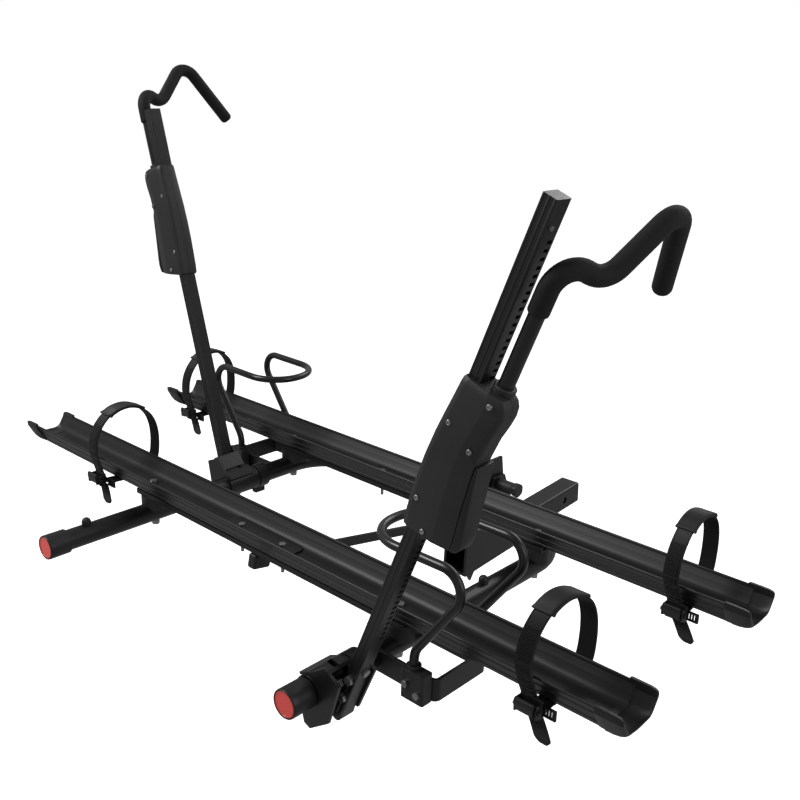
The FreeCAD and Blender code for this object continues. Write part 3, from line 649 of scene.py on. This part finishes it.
# --- lobed tilt knob ---
KNOB_AXIS = (867.0, -21.0)
KNOB_LOBES = 6
knob_rings = []
for x, r, lobe in ((33.5, 10.0, 0.0), (34.2, 12.6, 0.0), (36, 13.0, 0.0), (70, 13.0, 0.0), (72.5, 12.0, 0.0),
                   (74, 13.5, 0.4), (75.5, 15.4, 1.0), (83, 16.0, 1.2), (85.6, 14.8, 0.8), (86.4, 12.0, 0.2)):
    ring = []
    for i in range(60):
        a = 2 * math.pi * i / 60
        reach = r - lobe * (0.5 + 0.5 * math.cos(KNOB_LOBES * a))
        ring.append(at(x, KNOB_AXIS[0] + reach * math.cos(a), KNOB_AXIS[1] + reach * math.sin(a)))
    knob_rings.append(ring)
add_piece("tilt_knob_moulding", make_mesh("tilt_knob", *loft(knob_rings)), "tilt_knob",
          PLASTIC, ["tilt_knob"])


# --- extruded ridges on the rails, and the latch springs at their feet ---
RAIL_FACE = 74.0
RIDGE_TOP = 73.15
RIDGE_HALF = 1.3
SPRING_TURNS = 6
SPRING_LENGTH = 20.0
SPRING_R = 5.2
WIRE_RADIUS = 0.0011            # metres
for side in ("right", "left"):
    parts = []
    for v in (31.4, 39.1, 46.8):
        rings = []
        for u, trim in ((-22.0, 0.4), (-21.0, 0.0), (780.0, 0.0), (780.8, 0.4)):
            section = rounded([(v - RIDGE_HALF, RAIL_FACE), (v - RIDGE_HALF + trim, RIDGE_TOP + trim),
                               (v + RIDGE_HALF - trim, RIDGE_TOP + trim), (v + RIDGE_HALF, RAIL_FACE)],
                              [0.05, 0.5, 0.5, 0.05], 3)
            rings.append([on_arm(side, p.x, p.y, u) for p in section])
        parts.append(loft(rings))
    add_piece("rail_ridges_" + side, make_mesh("rail_ridges", *join_parts(parts)), "arm_" + side,
              STEEL)
    coil = []
    for i in range(SPRING_TURNS * 16 + 1):
        a = 2 * math.pi * i / 16
        y = 51.5 + SPRING_LENGTH * i / (SPRING_TURNS * 16)
        coil.append(on_arm(side, 28 + SPRING_R * math.cos(a), y, 34 + SPRING_R * math.sin(a)))
    wire = tube_rings(coil, lambda i: WIRE_RADIUS, 10)
    add_piece("latch_spring_" + side, make_mesh("latch_spring", *loft(wire)), "arm_" + side,
              SCREW)


# --- end caps with a rolled front edge, and their lenses ---
def turned(x, profile, segments=48):
    """Solid of revolution about a frame tube's axis from (station, radius) pairs."""
    turns = [2 * math.pi * i / segments for i in range(segments)]
    return loft([[at(x + r * math.cos(a), y, r * math.sin(a)) for a in turns] for y, r in profile])


cap_parts = [turned(x, [(42.0, 19.3), (42.0, 21.6), (41.2, 22.4), (14.0, 22.6), (3.0, 22.6), (1.0, 22.2),
                        (0.0, 21.4), (0.0, 20.6), (0.6, 20.2), (4.2, 20.0)]) for x in (-TUBE_X, TUBE_X)]
add_piece("cap_mouldings", make_mesh("end_caps", *join_parts(cap_parts)), "rack", TRIM,
          ["end_caps"])
lens_parts = [turned(x, [(4.0, 20.0), (1.4, 20.0), (0.8, 19.6), (0.5, 18.9), (0.5, 17.6), (1.0, 17.2),
                         (1.0, 8.0)]) for x in (-TUBE_X, TUBE_X)]
add_piece("lens_discs", make_mesh("lenses", *join_parts(lens_parts)), "rack", LENS,
          ["reflectors"])


# --- floor, light and camera ---
FLOOR_DROP = 0.42
REACH = 14.0
FLOOR_GLOW = 0.72
STUDIO_FILL = 0.38              # strength of the surroundings on the object; 1 behind it
floor_mesh = bpy.data.meshes.new("floor")
floor_corners = [(x, y, -FLOOR_DROP) for x, y in ((-REACH, -REACH), (REACH, -REACH), (REACH, REACH),
                                                  (-REACH, REACH))]
floor_mesh.from_pydata(floor_corners, [], [(0, 1, 2, 3)])
floor = bpy.data.objects.new("floor", floor_mesh)
bpy.context.scene.collection.objects.link(floor)
floor.visible_glossy = False
floor.visible_diffuse = False
pale = bpy.data.materials.new("pale_floor")
pale.use_nodes = True
floor_shader = pale.node_tree.nodes["Principled BSDF"]
floor_noise = pale.node_tree.nodes.new("ShaderNodeTexNoise")
floor_noise.inputs["Scale"].default_value = 3.0
floor_ramp = pale.node_tree.nodes.new("ShaderNodeValToRGB")
floor_ramp.color_ramp.elements[0].color = (0.90, 0.90, 0.90, 1)
floor_ramp.color_ramp.elements[1].color = (0.93, 0.93, 0.93, 1)
pale.node_tree.links.new(floor_noise.outputs["Fac"], floor_ramp.inputs["Fac"])
pale.node_tree.links.new(floor_ramp.outputs["Color"], floor_shader.inputs["Base Color"])
floor_shader.inputs["Roughness"].default_value = 0.9
floor_shader.inputs["Emission Color"].default_value = (1, 1, 1, 1)
floor_shader.inputs["Emission Strength"].default_value = FLOOR_GLOW
floor_mesh.materials.append(pale)

world = bpy.data.worlds.new("studio")
world.use_nodes = True
backdrop = world.node_tree.nodes["Background"]
backdrop.inputs["Color"].default_value = (1, 1, 1, 1)
rays = world.node_tree.nodes.new("ShaderNodeLightPath")
dimmer = world.node_tree.nodes.new("ShaderNodeMapRange")
dimmer.inputs["To Min"].default_value = STUDIO_FILL
dimmer.inputs["To Max"].default_value = 1.0
world.node_tree.links.new(rays.outputs["Is Camera Ray"], dimmer.inputs["Value"])
world.node_tree.links.new(dimmer.outputs["Result"], backdrop.inputs["Strength"])
bpy.context.scene.world = world


def area_light(name, place, aim, size, power):
    data = bpy.data.lights.new(name, "AREA")
    data.shape = "RECTANGLE"
    data.size, data.size_y = size
    data.energy = power
    lamp = bpy.data.objects.new(name, data)
    lamp.location = place
    lamp.rotation_mode = "QUATERNION"
    lamp.rotation_quaternion = (Vector(aim) - Vector(place)).to_track_quat("-Z", "Y")
    bpy.context.scene.collection.objects.link(lamp)


LIGHTS = [  # name, place, aim, size, power
    ("key", (-1.6, -2.4, 2.6), (0, -0.7, 0.1), (1.2, 1.2), 80),
    ("back", (0.4, 2.2, 2.4), (0, -0.6, 0.2), (2.6, 1.0), 40),
    ("side", (3.0, -0.4, 1.4), (0.2, -0.7, 0.2), (0.8, 2.0), 22)]
for light in LIGHTS:
    area_light(*light)

SENSOR = 36.0
LENS_LENGTH = 44.309
CAMERA_PLACE = Vector((1.20059, -1.89615, 0.97458))
CAMERA_ANGLES = (42.287, 18.416, -1.704)    # azimuth, elevation and roll in degrees
camera_data = bpy.data.cameras.new("camera")
camera_data.sensor_width = SENSOR
camera_data.lens = LENS_LENGTH
camera_data.clip_start = 0.05
camera_data.clip_end = 60.0
camera = bpy.data.objects.new("camera", camera_data)
azimuth, elevation, roll = (math.radians(v) for v in CAMERA_ANGLES)
ahead = Vector((-math.sin(azimuth) * math.cos(elevation), math.cos(azimuth) * math.cos(elevation),
                -math.sin(elevation)))
level_right = Vector((math.cos(azimuth), math.sin(azimuth), 0.0))
level_down = ahead.cross(level_right)
right = level_right * math.cos(roll) + level_down * math.sin(roll)
up = -(level_down * math.cos(roll) - level_right * math.sin(roll))
turn = Matrix((right, up, -ahead)).transposed().to_4x4()
camera.matrix_world = Matrix.Translation(CAMERA_PLACE) @ turn
bpy.context.scene.collection.objects.link(camera)
bpy.context.scene.camera = camera

bpy.context.scene.view_settings.view_transform = "Standard"
